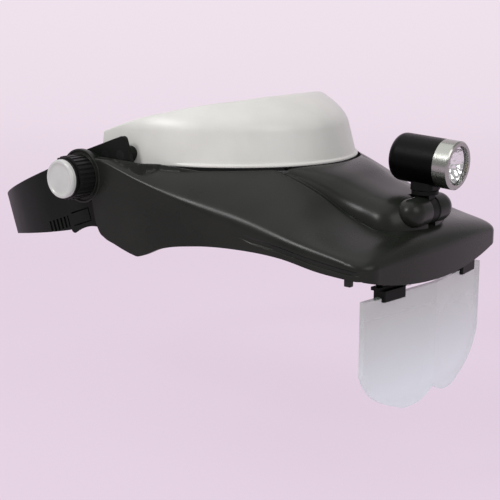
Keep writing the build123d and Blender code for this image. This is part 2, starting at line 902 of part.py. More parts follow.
# Lens plate: one clear moulding, a shallow V in plan, with a lens in each lobe and two tabs on top
lobe_line_shares = ((1.0, 0.56), (0.955, 0.69), (0.85, 0.81), (0.7, 0.9), (0.51, 0.973), (0.32, 1.0))
tab_inner = clip_middle - tab_width / 2
tab_outer = clip_middle + tab_width / 2
lens_low = lens_top - lens_height
tab_top = lens_top + tab_height
swell_radius = lobe_radius**2 / (2 * lens_bulge)
lens_halves = {
    side: half_block(side, (-lens_half, lens_run), (0, lens_wall), (lens_low, tab_top))
    for side in outward_x.values()
}
own_sides = {
    side: block((0, side * overrun), (-overrun, 0), (lens_low, tab_top)) for side in outward_x.values()
}
lens_pieces = []
for side in outward_x.values():
    lobe_in = Vector(-side * half_out[side].Y, side * half_out[side].X, 0)
    lobe_middle = Vector(0, lens_ridge_y, lens_top - lobe_drop) + half_out[side] * lobe_x
    lobe_seat = lobe_middle + lobe_in * (lens_wall / 2)
    swell_back = swell_radius - lens_wall / 2 - lens_bulge
    with BuildPart() as lens_lobe:
        with Locations(lobe_seat - lobe_in * swell_back):
            Sphere(swell_radius)
        with Locations(lobe_seat + lobe_in * swell_back):
            Sphere(swell_radius, mode=Mode.INTERSECT)
    with BuildPart() as lens_piece:
        add(lens_halves[side].part)
        add(lens_lobe.part)
        add(own_sides[side].part, mode=Mode.INTERSECT)
    lens_pieces.append(lens_piece.part)

with BuildPart() as lens_plate:
    for lens_piece in lens_pieces:
        add(lens_piece)
    with BuildSketch(Plane.XZ):
        for side in outward_x.values():
            with BuildLine():
                lobe_line = [
                    (side * wide * lens_half, lens_top - low * lens_height) for wide, low in lobe_line_shares
                ]
                Spline(*lobe_line, tangents=((0, -1), (-side, 0)))
                TangentArc(lobe_line[-1], (0, lens_top - lens_middle), tangent=(-side, 0))
                Polyline(
                    (0, lens_top - lens_middle),
                    (0, lens_top),
                    (side * tab_inner, lens_top),
                    (side * tab_inner, tab_top),
                    (side * tab_outer, tab_top),
                    (side * tab_outer, lens_top),
                    (side * lens_half, lens_top),
                    lobe_line[0],
                )
            make_face()
    extrude(amount=overrun, both=True, mode=Mode.INTERSECT)
save(lens_plate, "lens_plate")


# Lens clips: a block with a slot for the plate's top edge and a pocket for its tab, under a
# flange that is screwed up against the visor
for name, side in outward_x.items():
    clip_body = half_block(side, (clip_inner, clip_outer), (-clip_lip, clip_rear), (clip_low, clip_top))
    clip_flange = half_block(side, (flange_inner, flange_outer), (0, clip_rear), (clip_top, flange_top))
    strip_slot = half_block(side, (0, overrun), (-gap, lens_wall + gap), (clip_low, lens_top + gap))
    tab_pocket = half_block(
        side, (tab_inner - gap, tab_outer + 2 * gap), (-gap, lens_wall + gap), (clip_low, tab_top + gap)
    )
    with BuildPart() as lens_clip:
        add(clip_body.part)
        fillet(lens_clip.edges().filter_by(Axis.Z), radius=clip_corner)
        add(clip_flange.part)
        add(strip_slot.part, mode=Mode.SUBTRACT)
        add(tab_pocket.part, mode=Mode.SUBTRACT)
        with BuildSketch(half_plane(side, clip_top)):
            with Locations((clip_screw_x, side * screw_deep)):
                Circle(clip_screw_radius)
        extrude(amount=flange_height, mode=Mode.SUBTRACT)
    save(lens_clip, "lens_clip_" + name)

with BuildPart() as clip_screws:
    for side in outward_x.values():
        with BuildSketch(half_plane(side, clip_top)):
            with Locations((clip_screw_x, side * screw_deep)):
                Circle(clip_head_radius)
        extrude(amount=-clip_head_height)
        with BuildSketch(half_plane(side, clip_top)):
            with Locations((clip_screw_x, side * screw_deep)):
                Circle(clip_screw_radius)
        extrude(amount=clip_screw_length)
save(clip_screws, "clip_screws")


# Lamp bracket: a tongue that tilts in the hinge barrel, with a disc on top that the lamp's
# shoe turns on, and the rivet between them
disc_top = barrel_z + knuckle_radius + 4 * gap + disc_height
disc_foot = disc_top - disc_height
shoe_foot = disc_top + gap
with BuildPart() as lamp_tongue:
    with BuildSketch(side_plane(0)):
        with Locations((barrel_y, barrel_z)):
            Circle(knuckle_radius)
        with Locations((barrel_y, (barrel_z + disc_top) / 2)):
            Rectangle(2 * neck_half, disc_top - barrel_z)
    extrude(amount=slot_half - gap, both=True)
    with BuildSketch(Plane.XY.offset(disc_foot)):
        with Locations((0, barrel_y)):
            Circle(disc_radius)
    extrude(amount=disc_height)
    with BuildSketch(side_plane(0)):
        with Locations((barrel_y, barrel_z)):
            Circle(tilt_screw_radius + running)
    extrude(amount=overrun, both=True, mode=Mode.SUBTRACT)
    with BuildSketch(Plane.XY.offset(disc_top)):
        with Locations((0, barrel_y)):
            Circle(swivel_radius + running)
    extrude(amount=-swivel_depth - gap, mode=Mode.SUBTRACT)
save(lamp_tongue, "lamp_tongue")

lamp_back = Vector(0, cos(radians(lamp_tilt)), sin(radians(lamp_tilt)))
lamp_plane = Plane(origin=(0, lamp_face_y, lamp_face_z), x_dir=lamp_back, z_dir=(1, 0, 0))
lamp_axis = Axis(lamp_plane.origin, lamp_back)
lamp_length = bezel_length + barrel_length + tail_length
lamp_solid = turned(
    [(0, 0), (0, lamp_radius), (lamp_length, lamp_radius), (lamp_length, 0)], lamp_plane, lamp_axis
)
saddle_z = lamp_face_z + (barrel_y - lamp_face_y) * lamp_back.Z / lamp_back.Y - lamp_radius / lamp_back.Y
head_top = saddle_z - gap
with BuildPart() as lamp_shoe:
    with BuildSketch(Plane.XY.offset(shoe_foot)):
        with Locations((0, barrel_y)):
            RectangleRounded(shoe_width, shoe_length, shoe_corner)
    extrude(amount=shoe_height)
    add(lamp_solid.part, mode=Mode.SUBTRACT)
    with BuildSketch(Plane.XY.offset(shoe_foot)):
        with Locations((0, barrel_y)):
            Circle(swivel_radius)
    extrude(amount=shoe_height, mode=Mode.SUBTRACT)
    with BuildSketch(Plane.XY.offset(head_top - swivel_head_height)):
        with Locations((0, barrel_y)):
            Circle(swivel_head_radius)
    extrude(amount=shoe_height, mode=Mode.SUBTRACT)
save(lamp_shoe, "lamp_shoe")

with BuildPart() as swivel_rivet:
    with BuildSketch(Plane.XY.offset(disc_top - swivel_depth)):
        with Locations((0, barrel_y)):
            Circle(swivel_radius)
    extrude(amount=head_top - disc_top + swivel_depth)
    with BuildSketch(Plane.XY.offset(head_top)):
        with Locations((0, barrel_y)):
            Circle(swivel_head_radius)
    extrude(amount=-swivel_head_height)
save(swivel_rivet, "swivel_rivet")


# Lamp: a metal bezel with window, reflector and light, a grip barrel with three button cells
# in a sleeve, and a tail cap with a push switch
bore = lamp_radius - lamp_wall
fit_radius = bore - gap
lip_radius = lamp_radius - bezel_lip


def lamp_piece(points, name):
    """Round piece of the lamp from its profile."""
    piece = turned(points, lamp_plane, lamp_axis)
    save(piece, name)


lamp_piece(
    [
        (0, lip_radius),
        (0, lamp_radius - grain),
        (grain, lamp_radius),
        (bezel_length, lamp_radius),
        (bezel_length, bore),
        (window_height, bore),
        (window_height, lip_radius),
    ],
    "lamp_bezel",
)
window_back = 2 * window_height
lamp_piece(
    [(window_height, 0), (window_height, window_radius), (window_back, window_radius), (window_back, 0)],
    "lamp_window",
)
cup_shares = (1.0, 0.85, 0.7, 0.55, 0.4, 0.25, 0.0)
cup_radius = fit_radius - reflector_wall
cup_hole = led_radius + gap
cup_back = window_back + reflector_depth
cup_inside = [
    (cup_back - reflector_depth * share**2, cup_hole + (cup_radius - cup_hole) * share)
    for share in cup_shares
]
cup_outside = [(along + reflector_wall, out + reflector_wall) for along, out in reversed(cup_inside)]
lamp_piece(
    [*cup_inside, (cup_back + reflector_wall, cup_hole), *cup_outside, (window_back, fit_radius)],
    "lamp_reflector",
)
board_front = cup_back + reflector_wall + gap
board_back = board_front + board_height
led_front = board_front - led_height
lamp_piece(
    [
        (led_front, 0),
        (led_front + grain / 2, led_radius - grain),
        (led_front + 2 * grain, led_radius),
        (board_front, led_radius),
        (board_front, 0),
    ],
    "led_emitter",
)
lamp_piece(
    [(board_front, 0), (board_front, fit_radius - gap), (board_back, fit_radius - gap), (board_back, 0)],
    "led_board",
)
contact_back = board_back + contact_height
narrow_radius = cell_radius / 2
lamp_piece(
    [
        (board_back, contact_radius),
        (board_back + contact_wall, contact_radius),
        (contact_back, narrow_radius),
        (contact_back, narrow_radius / 2),
        (contact_back - contact_wall, narrow_radius / 2),
        (contact_back - contact_wall, narrow_radius - contact_wall),
        (board_back, contact_radius - 2 * contact_wall),
    ],
    "contact_spring",
)
cells_front = contact_back + gap
with BuildPart() as button_cells:
    for cell in range(cell_count):
        cell_front = cells_front + cell * (cell_height + cell_apart)
        with BuildSketch(lamp_plane):
            with BuildLine():
                Polyline(
                    (cell_front, 0),
                    (cell_front, cell_radius - grain),
                    (cell_front + grain / 2, cell_radius),
                    (cell_front + cell_height, cell_radius),
                    (cell_front + cell_height, 0),
                    close=True,
                )
            make_face()
        revolve(axis=lamp_axis)
save(button_cells, "button_cells")
sleeve_front = contact_back - contact_wall
sleeve_inner = cell_radius + gap / 2
lamp_piece(
    [
        (sleeve_front, sleeve_inner),
        (sleeve_front, fit_radius),
        (sleeve_front + sleeve_length, fit_radius),
        (sleeve_front + sleeve_length, sleeve_inner),
    ],
    "cell_sleeve",
)
barrel_back = bezel_length + barrel_length
lamp_piece(
    [(bezel_length, bore), (bezel_length, lamp_radius), (barrel_back, lamp_radius), (barrel_back, bore)],
    "lamp_barrel",
)
button_hole = button_radius + gap
tail_inside = lamp_length - tail_wall
tail_cap = turned(
    [
        (barrel_back, bore),
        (barrel_back, lamp_radius),
        (lamp_length, lamp_radius),
        (lamp_length, button_hole),
        (tail_inside, button_hole),
        (tail_inside, bore),
    ],
    lamp_plane,
    lamp_axis,
)
with BuildPart() as rounded_tail:
    add(tail_cap.part)
    widest_edges = rounded_tail.edges().filter_by(GeomType.CIRCLE).sort_by(SortBy.RADIUS)[-2:]
    fillet(widest_edges.sort_by(Axis.Y)[-1], radius=tail_round)
save(rounded_tail, "tail_cap")
switch_front = barrel_back + 2 * gap
switch_back = switch_front + switch_height
cells_back = cells_front + cell_count * cell_height + (cell_count - 1) * cell_apart
stem_end = tail_inside - gap - collar_height - stem_length
lamp_piece(
    [
        (cells_back + gap, 0),
        (cells_back + gap, switch_nose_radius),
        (switch_front, switch_nose_radius),
        (switch_front, fit_radius),
        (switch_back, fit_radius),
        (switch_back, stem_radius + gap),
        (stem_end - board_height - gap, stem_radius + gap),
        (stem_end - board_height - gap, 0),
    ],
    "switch_body",
)
button_end = lamp_length + button_proud
lamp_piece(
    [
        (stem_end, 0),
        (stem_end, stem_radius),
        (stem_end + stem_length, stem_radius),
        (stem_end + stem_length, collar_radius),
        (tail_inside - gap, collar_radius),
        (tail_inside - gap, button_radius),
        (button_end - grain, button_radius),
        (button_end, button_radius - grain),
        (button_end, 0),
    ],
    "switch_button",
)
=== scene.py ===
import bmesh
import bpy
import numpy as np
from math import cos, radians, sin
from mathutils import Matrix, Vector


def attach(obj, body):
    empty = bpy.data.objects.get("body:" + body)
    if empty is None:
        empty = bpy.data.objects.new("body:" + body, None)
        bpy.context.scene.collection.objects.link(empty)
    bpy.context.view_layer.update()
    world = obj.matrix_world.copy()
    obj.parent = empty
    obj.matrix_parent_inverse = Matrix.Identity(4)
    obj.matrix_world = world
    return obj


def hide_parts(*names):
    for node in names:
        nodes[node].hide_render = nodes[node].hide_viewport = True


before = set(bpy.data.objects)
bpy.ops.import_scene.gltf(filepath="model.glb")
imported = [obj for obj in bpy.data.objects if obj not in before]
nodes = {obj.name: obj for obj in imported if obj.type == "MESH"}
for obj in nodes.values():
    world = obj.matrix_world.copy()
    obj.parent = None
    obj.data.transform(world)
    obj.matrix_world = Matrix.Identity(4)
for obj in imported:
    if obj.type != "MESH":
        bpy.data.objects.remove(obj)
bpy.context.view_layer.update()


# Forehead plate: a white band with a soft gloss, moulded in one piece and bowed round the
# forehead. Four blackened rivets hold it to the side arms.
noise_low, noise_high = 0.3, 0.7
cloud_size, cloud_shift, coat_rough = 0.022, 0.12, 0.2
tool_mark, mark_depth, mark_shift = 0.0006, 0.000008, 0.3


def material(name):
    """New material with its node tree, its shader and the Object coordinates of its surface."""
    made = bpy.data.materials.new(name)
    made.use_nodes = True
    tree = made.node_tree
    place = tree.nodes.new("ShaderNodeTexCoord").outputs["Object"]
    return made, tree, tree.nodes["Principled BSDF"], place


def noise(tree, place, size, detail=3.0):
    """Noise whose blobs are about `size` metres across."""
    grain = tree.nodes.new("ShaderNodeTexNoise")
    grain.inputs["Scale"].default_value = 1 / size
    grain.inputs["Detail"].default_value = detail
    tree.links.new(place, grain.inputs["Vector"])
    return grain.outputs["Fac"]


def spread(tree, value, low, high):
    """Maps the range in which noise mostly lies to low to high."""
    ends = tree.nodes.new("ShaderNodeMapRange")
    ends.inputs["From Min"].default_value = noise_low
    ends.inputs["From Max"].default_value = noise_high
    ends.inputs["To Min"].default_value = low
    ends.inputs["To Max"].default_value = high
    tree.links.new(value, ends.inputs["Value"])
    return ends.outputs["Result"]


def tint(tree, value, dark, light):
    """Colour between two, by a value."""
    blend = tree.nodes.new("ShaderNodeMix")
    blend.data_type = "RGBA"
    blend.inputs["A"].default_value = (*dark, 1)
    blend.inputs["B"].default_value = (*light, 1)
    tree.links.new(value, blend.inputs["Factor"])
    return blend.outputs["Result"]


def relief(tree, value, depth):
    """Bump of a value, `depth` metres deep."""
    bump = tree.nodes.new("ShaderNodeBump")
    bump.inputs["Distance"].default_value = depth
    tree.links.new(value, bump.inputs["Height"])
    return bump.outputs["Normal"]


def moulded(name, dark, light, rough, grain, depth, coat=0.0, gloss=0.5):
    """Moulded plastic: a broad noise shifts its colour and roughness, and a fine one, `grain`
    metres across and `depth` metres deep, is the skin that the mould leaves."""
    made, tree, shader, place = material(name)
    cloud = noise(tree, place, cloud_size)
    fine = noise(tree, place, grain, detail=2.0)
    tree.links.new(tint(tree, spread(tree, cloud, 0, 1), dark, light), shader.inputs["Base Color"])
    uneven = spread(tree, cloud, rough * (1 - cloud_shift), rough * (1 + cloud_shift))
    tree.links.new(uneven, shader.inputs["Roughness"])
    tree.links.new(relief(tree, fine, depth), shader.inputs["Normal"])
    shader.inputs["Specular IOR Level"].default_value = gloss
    shader.inputs["Coat Weight"].default_value = coat
    shader.inputs["Coat Roughness"].default_value = coat_rough
    return made


def metal(name, colour, rough):
    """Plated or turned metal: a fine noise is the mark of the tool."""
    made, tree, shader, place = material(name)
    marks = noise(tree, place, tool_mark)
    uneven = spread(tree, marks, rough * (1 - mark_shift), rough * (1 + mark_shift))
    tree.links.new(uneven, shader.inputs["Roughness"])
    tree.links.new(relief(tree, marks, mark_depth), shader.inputs["Normal"])
    shader.inputs["Base Color"].default_value = (*colour, 1)
    shader.inputs["Metallic"].default_value = 1.0
    return made


def finish(made, *names):
    """Gives CAD nodes a material."""
    for name in names:
        for place in nodes[name].material_slots:
            place.material = made


pearl = moulded(
    "pearl_moulding", dark=(0.575, 0.572, 0.545), light=(0.63, 0.627, 0.596), rough=0.4,
    grain=0.0009, depth=0.000012, coat=0.1,
)
plated = metal("plated_steel", colour=(0.62, 0.62, 0.61), rough=0.28)
blackened = metal("blackened_steel", colour=(0.035, 0.035, 0.035), rough=0.5)
finish(blackened, "arm_rivets")
plate_start, plate_half, plate_depth = -3.2, 72.0, 97.0
plate_low, plate_wall, plate_lean = 7.0, 1.8, 0.3
roll_in, roll_top, roll_deep = 15.0, 39.5, 16.0
top_turn = (90, 78, 65, 50, 35, 20, 0)
top_height = (22.0, 28.6, 33.0, 36.4, 38.2, 39.5, 40.0)
foot_steps = np.array([[0, 0.12, 0.4, 0.7, 1.0, 1.3, 1.6, 1.9]]).T
foot_tuck = np.array([[0.4, 0.12, 0, 0, 0, 0, 0, 0]]).T
bead_out, bead_low, bead_high = 0.9, 1.0, 1.7
bead_end, bead_full = 0.42, 0.58
plate_columns, plate_rows = 241, 40


def through(at, run, values):
    """Smooth curve through points: between two of them a cubic whose slopes at its ends are
    those of the lines between their neighbours."""
    run = np.asarray(run, float)[::-1]
    values = np.asarray(values, float)[::-1]
    slope = np.gradient(values, run)
    cell = np.clip(np.searchsorted(run, at) - 1, 0, len(run) - 2)
    width = run[cell + 1] - run[cell]
    f = np.clip((at - run[cell]) / width, 0, 1)
    start = (1 + 2 * f) * (1 - f) ** 2 * values[cell] + f * (1 - f) ** 2 * width * slope[cell]
    end = f**2 * (3 - 2 * f) * values[cell + 1] + f**2 * (f - 1) * width * slope[cell + 1]
    return start + end


def step(value, low, high):
    """Smooth step from 0 at low to 1 at high: 3 f^2 - 2 f^3."""
    f = np.clip((value - low) / (high - low), 0, 1)
    return f**2 * (3 - 2 * f)


def plate_face(turn, z, grow):
    """Point of the plate's outer face, an ellipse that leans in with its height and then rolls
    in: inward = lean (z - low) + roll (1 - (roll top - z) / roll depth)^2."""
    inward = plate_lean * (z - plate_low) + roll_in * (1 - (roll_top - z) / roll_deep).clip(0) ** 2
    x = (plate_half - inward / 2 + grow) * np.sin(turn)
    y = plate_start - (plate_depth - inward + grow) * np.cos(turn)
    return np.stack((x, y, z + 0 * x), axis=-1)


def plate_surface():
    """Grid of the plate: up its outer face over a bead along the foot, round its top edge on a
    half circle, and down its inner face."""
    turn = np.radians(np.linspace(-90, 90, plate_columns))[None, :]
    top = through(np.degrees(np.abs(turn)), top_turn, top_height)
    rest = np.linspace(0, 1, plate_rows)[1:, None]
    edge = plate_wall / 2
    start = plate_low + foot_steps[-1]
    up = np.concatenate((plate_low + foot_steps + 0 * top, start + (top - edge - start) * rest))
    bead = 1 - step(up, plate_low + bead_low, plate_low + bead_high)
    bead = bead_out * bead * step(np.cos(turn), bead_end, bead_full)
    bead[: len(foot_steps)] -= foot_tuck
    over = np.linspace(0, np.pi, 9)[1:-1, None]
    grow = np.concatenate((bead, edge * np.cos(over) - edge + 0 * top, 0 * up - plate_wall))
    height = np.concatenate((up, top - edge + edge * np.sin(over), up[::-1]))
    return plate_face(turn, height, grow)


millimetre, same_point, thin_edge = 0.001, 0.000004, 0.000002


def build(name, points, faces, made, sharp=35):
    """Mesh object from points in millimetres: doubles merged, sharp where it turns by more than
    `sharp` degrees."""
    mesh = bpy.data.meshes.new(name)
    corners = (np.reshape(points, (-1, 3)) * millimetre).tolist()
    mesh.from_pydata(corners, [], [list(map(int, face)) for face in faces])
    shape = bmesh.new()
    shape.from_mesh(mesh)
    bmesh.ops.remove_doubles(shape, verts=shape.verts, dist=same_point)
    bmesh.ops.dissolve_degenerate(shape, edges=shape.edges, dist=thin_edge)
    bmesh.ops.recalc_face_normals(shape, faces=shape.faces)
    shape.to_mesh(mesh)
    shape.free()
    mesh.shade_smooth()
    mesh.set_sharp_from_angle(angle=radians(sharp))
    mesh.materials.append(made)
    piece = bpy.data.objects.new(name, mesh)
    bpy.context.scene.collection.objects.link(piece)
    return piece


def quads(rows, columns, round_rows=False, round_columns=False):
    """Faces of a grid of points, joined to itself across its rows or its columns if it is round."""
    row = np.arange(rows if round_rows else rows - 1)[:, None]
    column = np.arange(columns if round_columns else columns - 1)[None, :]
    a = row * columns + column
    b = row * columns + (column + 1) % columns
    c = (row + 1) % rows * columns + (column + 1) % columns
    d = (row + 1) % rows * columns + column
    return np.stack((a, b, c, d), axis=-1).reshape(-1, 4)


plate = plate_surface()
plate_faces = quads(plate.shape[0], plate.shape[1], round_rows=True)
band = build("plate_moulding", plate, plate_faces, pearl, sharp=60)
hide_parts("forehead_plate")
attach(band, "headband")


# Foam pad: a crowned strip faced with cloth, sewn across into panels and glued behind the plate.
# Its back and its seams are held while a cloth simulation puffs the panels between them.
thread, weave_depth, fade_size = 0.0007, 0.00015, 0.012
pad_reach, pad_middle, pad_half, pad_thick = 58, 18.0, 9.6, 8.4
pad_least, pad_gap = 0.6, 0.4
panels_a_side, seam_width, seam_pinch, seam_sink = 3, 0.035, 0.5, 3.6
pad_columns, pad_rows = 44, 117
cloth_frames, cloth_slack, cloth_pressure, most_puff = 20, -0.04, 4.0, 0.0022


def combined(tree, operation, *values, clamp=False):
    """Result of a maths node on plain numbers and the outputs of other nodes."""
    sums = tree.nodes.new("ShaderNodeMath")
    sums.operation = operation
    sums.use_clamp = clamp
    for socket, value in zip(sums.inputs, values):
        if isinstance(value, float):
            socket.default_value = value
        else:
            tree.links.new(value, socket)
    return sums.outputs[0]


def woven(name, dark, light):
    """Plain weave: two bands of stripes a thread apart cross, and a broad noise fades them. At a
    scale of 1 a wave's stripes are 0.31 m apart."""
    made, tree, shader, place = material(name)
    heights = []
    for way in ("X", "Z"):
        stripes = tree.nodes.new("ShaderNodeTexWave")
        stripes.bands_direction = way
        stripes.inputs["Scale"].default_value = 0.31 / thread
        stripes.inputs["Distortion"].default_value = 1.2
        tree.links.new(place, stripes.inputs["Vector"])
        heights.append(stripes.outputs["Fac"])
    weave = combined(tree, "MULTIPLY", *heights)
    faint = spread(tree, noise(tree, place, fade_size), 0.0, 0.4)
    faded = combined(tree, "MULTIPLY_ADD", weave, 0.6, faint)
    tree.links.new(tint(tree, faded, dark, light), shader.inputs["Base Color"])
    tree.links.new(relief(tree, weave, weave_depth), shader.inputs["Normal"])
    shader.inputs["Roughness"].default_value = 0.92
    shader.inputs["Sheen Weight"].default_value = 0.3
    return made


def puffed(piece, held):
    """Cloth simulation with the held points fixed and air pressure inside. No point moves by
    more than the most that is allowed, and the result replaces the mesh."""
    start = np.array([point.co for point in piece.data.vertices])
    fixed = piece.vertex_groups.new(name="held")
    fixed.add(held.tolist(), 1.0, "REPLACE")
    cloth = piece.modifiers.new("cloth", "CLOTH")
    cloth.settings.vertex_group_mass = "held"
    cloth.settings.use_pressure = True
    cloth.settings.uniform_pressure_force = cloth_pressure
    cloth.settings.effector_weights.gravity = 0
    cloth.settings.shrink_min = cloth_slack
    for frame_number in range(1, cloth_frames + 1):
        bpy.context.scene.frame_set(frame_number)
    shaped = piece.evaluated_get(bpy.context.evaluated_depsgraph_get())
    moved = np.array([point.co for point in shaped.data.vertices]) - start
    piece.modifiers.remove(cloth)
    length = np.linalg.norm(moved, axis=1, keepdims=True).clip(1e-9)
    moved *= np.minimum(1, most_puff / length)
    for point, place in zip(piece.data.vertices, start + moved):
        point.co = place.tolist()
    piece.vertex_groups.clear()
    bpy.context.scene.frame_set(1)


def squared(wave, power):
    """Sine or cosine with its size raised to a power; below 1 it makes a circle squarer."""
    return np.sign(wave) * np.abs(wave) ** power


def pad_surface():
    """Closed strip round the inner face of the plate: half height and depth follow the turn, and
    its section is |h|^2.6 + |d|^2.2 = 1, drawn in at each seam."""
    turn = np.radians(np.linspace(-pad_reach, pad_reach, pad_rows))[:, None]
    share = turn / turn[-1]
    about = np.linspace(0, 2 * np.pi, pad_columns, endpoint=False)[None, :]
    ends = (1 - share**8) ** 0.5
    from_seam = (share * panels_a_side + 0.5) % 1 - 0.5
    seam = np.exp(-((from_seam / seam_width) ** 2)) * (np.abs(share) < 0.9)
    high = (pad_half - seam_pinch * seam) * (0.3 + 0.7 * ends)
    crown = 0.55 + 0.45 * np.cos(turn * 1.2)
    deep = (pad_thick - seam_sink * seam) * ends * crown + pad_least
    z = pad_middle + high * squared(np.cos(about), 0.77)
    depth = deep * (0.5 + 0.5 * squared(np.sin(about), 0.91)) + pad_gap
    grid = plate_face(turn + 0 * z, z, -plate_wall - depth)
    held = (np.sin(about) < -0.15) | (seam > 0.6) | (np.abs(share) > 0.97)
    return grid, held


pad_cloth = woven("pad_cloth", dark=(0.5, 0.49, 0.47), light=(0.66, 0.65, 0.63))
pad_grid, pad_held = pad_surface()
pad_faces = quads(pad_rows, pad_columns, round_columns=True).tolist()
pad_faces.append(list(range(pad_columns)))
pad_faces.append(list(range((pad_rows - 1) * pad_columns, pad_rows * pad_columns)))
pad = build("pad_cushion", pad_grid, pad_faces, pad_cloth, sharp=80)
puffed(pad, np.flatnonzero(pad_held))
pad.modifiers.new("smooth", "SUBSURF").render_levels = 1
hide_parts("forehead_pad")
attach(pad, "headband")


# Side arms and rear strap: matt black mouldings. The strap slides in the guides of the arms,
# and its ratchet teeth click past the pawls.
matt_black = moulded(
    "matt_black", dark=(0.005, 0.0062, 0.005), light=(0.008, 0.0094, 0.008), rough=0.45,
    grain=0.0006, depth=0.00003, gloss=0.1,
)
finish(matt_black, "side_arm_right", "side_arm_left", "rear_strap")


# Pivot hardware: a plated bolt, a rubber washer, and a fluted black knob with a brass nut and
# a white cap, on each side. The cap's skirt, inside the knob, is black.
rubber = moulded(
    "washer_rubber", dark=(0.03, 0.03, 0.03), light=(0.045, 0.045, 0.044), rough=0.75,
    grain=0.0005, depth=0.00003,
)
knob_black = moulded(
    "knob_black", dark=(0.006, 0.006, 0.006), light=(0.01, 0.01, 0.01), rough=0.4,
    grain=0.0005, depth=0.00002, gloss=0.35,
)
brass = metal("plain_brass", colour=(0.72, 0.52, 0.25), rough=0.3)
knob_white = moulded(
    "knob_white", dark=(0.44, 0.445, 0.43), light=(0.56, 0.565, 0.55), rough=0.2,
    grain=0.003, depth=0.00001, coat=0.6,
)
cap_profile = [(93.8, 0.0), (93.8, 9.6), (95.4, 9.8), (97.6, 9.75), (98.4, 9.1), (98.45, 8.2)]
cap_profile += [(98.0, 7.6), (97.7, 6.4), (97.75, 3.2), (98.0, 0.0)]
cap_round, skirt_end = 0.6, 96.3


def turned(profile, centre, steps=72):
    """Round piece turned about a line along X through a centre, from a profile of places along
    the line and radii: point = centre + (x, r sin(turn), r cos(turn))."""
    profile = np.asarray(profile, float)
    turn = np.linspace(0, 2 * np.pi, steps, endpoint=False)
    x = np.broadcast_to(profile[:, :1], (len(profile), steps))
    y = centre[1] + profile[:, 1:] * np.sin(turn)
    z = centre[2] + profile[:, 1:] * np.cos(turn)
    return np.stack((x + centre[0], y, z), axis=-1), quads(len(profile), steps, round_columns=True)


def rounded(profile, radius, steps=5):
    """Profile with each of its inner corners replaced by a quadratic curve, no larger than the
    radius or 0.45 of the shorter side."""
    profile = np.asarray(profile, float)
    made = [profile[:1]]
    f = np.linspace(0, 1, steps)[:, None]
    for before, corner, after in zip(profile[:-2], profile[1:-1], profile[2:]):
        sides = np.linalg.norm(before - corner), np.linalg.norm(after - corner)
        cut = min(radius, 0.45 * min(sides))
        a = corner + (before - corner) * cut / max(sides[0], 0.001)
        b = corner + (after - corner) * cut / max(sides[1], 0.001)
        made.append((1 - f) ** 2 * a + 2 * f * (1 - f) * corner + f**2 * b)
    made.append(profile[-1:])
    return np.concatenate(made)


for side, way in (("right", -1), ("left", 1)):
    finish(plated, "pivot_bolt_" + side)
    finish(rubber, "pivot_washer_" + side)
    finish(knob_black, "knob_base_" + side)
    finish(brass, "knob_nut_" + side)
    cap_shape = rounded(cap_profile, cap_round) * (way, 1)
    cap = build("knob_dish_" + side, *turned(cap_shape, (0, 0, 0)), knob_white)
    cap.data.materials.append(knob_black)
    for face in cap.data.polygons:
        face.material_index = int(abs(face.center.x) < skirt_end * millimetre)
    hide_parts("knob_cap_" + side)
    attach(cap, "knob_" + side)


# Visor shell: one moulding in smoke black with a satin skin. Its roof bows across between two
# moulded edges, drops into upright side walls and a fascia, and swells into a hump that carries
# the hinge barrel of the lamp. A collar stands round the opening for the forehead plate.
smoke = moulded(
    "smoke_moulding", dark=(0.0105, 0.012, 0.0094), light=(0.0145, 0.016, 0.013), rough=0.29,
    grain=0.0007, depth=0.000012, gloss=0.19,
)
finish(plated, "tilt_screw", "clip_screws")
visor_wall, roof_slant, roof_power = 2.6, 1.1, 0.72
roof_run = (20, -14, -36, -63, -91, -111, -125, -137, -150, -166)
roof_half = (84.0, 83.5, 81.0, 76.0, 70.7, 68.0, 66.3, 65.1, 64.0, 63.1)
edge_height = (12.5, 9.1, 1.2, -7.8, -15.0, -19.7, -22.5, -24.7, -27.1, -29.2)
roof_rise = (4.0, 8.1, 15.9, 26.5, 25.7, 19.4, 12.3, 9.3, 8.7, 7.7)
wall_run = (0, -7.6, -9, -11.6, -15.5, -21.7, -33.2, -35.9, -38.5, -49, -68.6, -91.4, -114.3)
wall_run += (-135, -154)
wall_foot = (-13, -11.6, -19.5, -26.7, -30.2, -32.7, -36.8, -37.4, -36.8, -32.3, -28.8, -28)
wall_foot += (-29.4, -33.4, -35.2)
opening_start, opening_half, opening_reach = -3.2, 74.6, 99.6
arm_inside, least_roof = 77.7, 2.8
arm_end, oval_start = 35.2, 41.5
side_runs = ((-3, -7.5, 5), (-7.8, -12, 14), (-12.8, -150.0, 130))
side_marks, opening_marks = (0, 38, 150), (0, 38, 87)
corner_x, corner_y, corner_wide, corner_long, corner_in = 53.2, -150.2, 10.6, 10.7, 35.2
front_y, front_half, front_bow, front_draw = -163.3, 63.1, 3.4, 0.36
front_foot, foot_bow, facing_front = -43.4, 8.4, 0.6
slot_sides = (5, 4.2, 3.7, 3.45, 3.3, 2.2, 1.1, 0)
hump_run = (-86, -97, -105, -113, -121, -130, -139, -149, -157)
hump_top = (7.9, 7.5, 6.4, 4.1, 0.9, -2.0, -4.0, -5.6, -7.5)
hump_half = (35.8, 33.0, 31.1, 29.4, 28.0, 27.3, 27.6, 27.6, 27.6)
hump_cap, hump_reach, hump_power, hump_fall = -139.0, 17.0, 2.2, 3.4
hump_lines, hump_rows, hump_sink, hump_tuck = 44, 30, 1.0, 0.1
valley_deep, valley_line, valley_width = 1.2, 1.02, 0.05
valley_rear, valley_front = (84, 92), (-149, -141)
slot_half, slot_deep, slot_start, slot_lines, slot_gap = 3.38, -24.0, 4.8, 5, 0.02
lug_radius, lug_front, lug_fade = 13.8, -5, (5, 20)
collar_run = (20, -14, -27, -45, -63, -80, -97, -112)
collar_top = (10.0, 9.6, 9.4, 8.1, 7.0, 6.0, 5.0, 5.4)
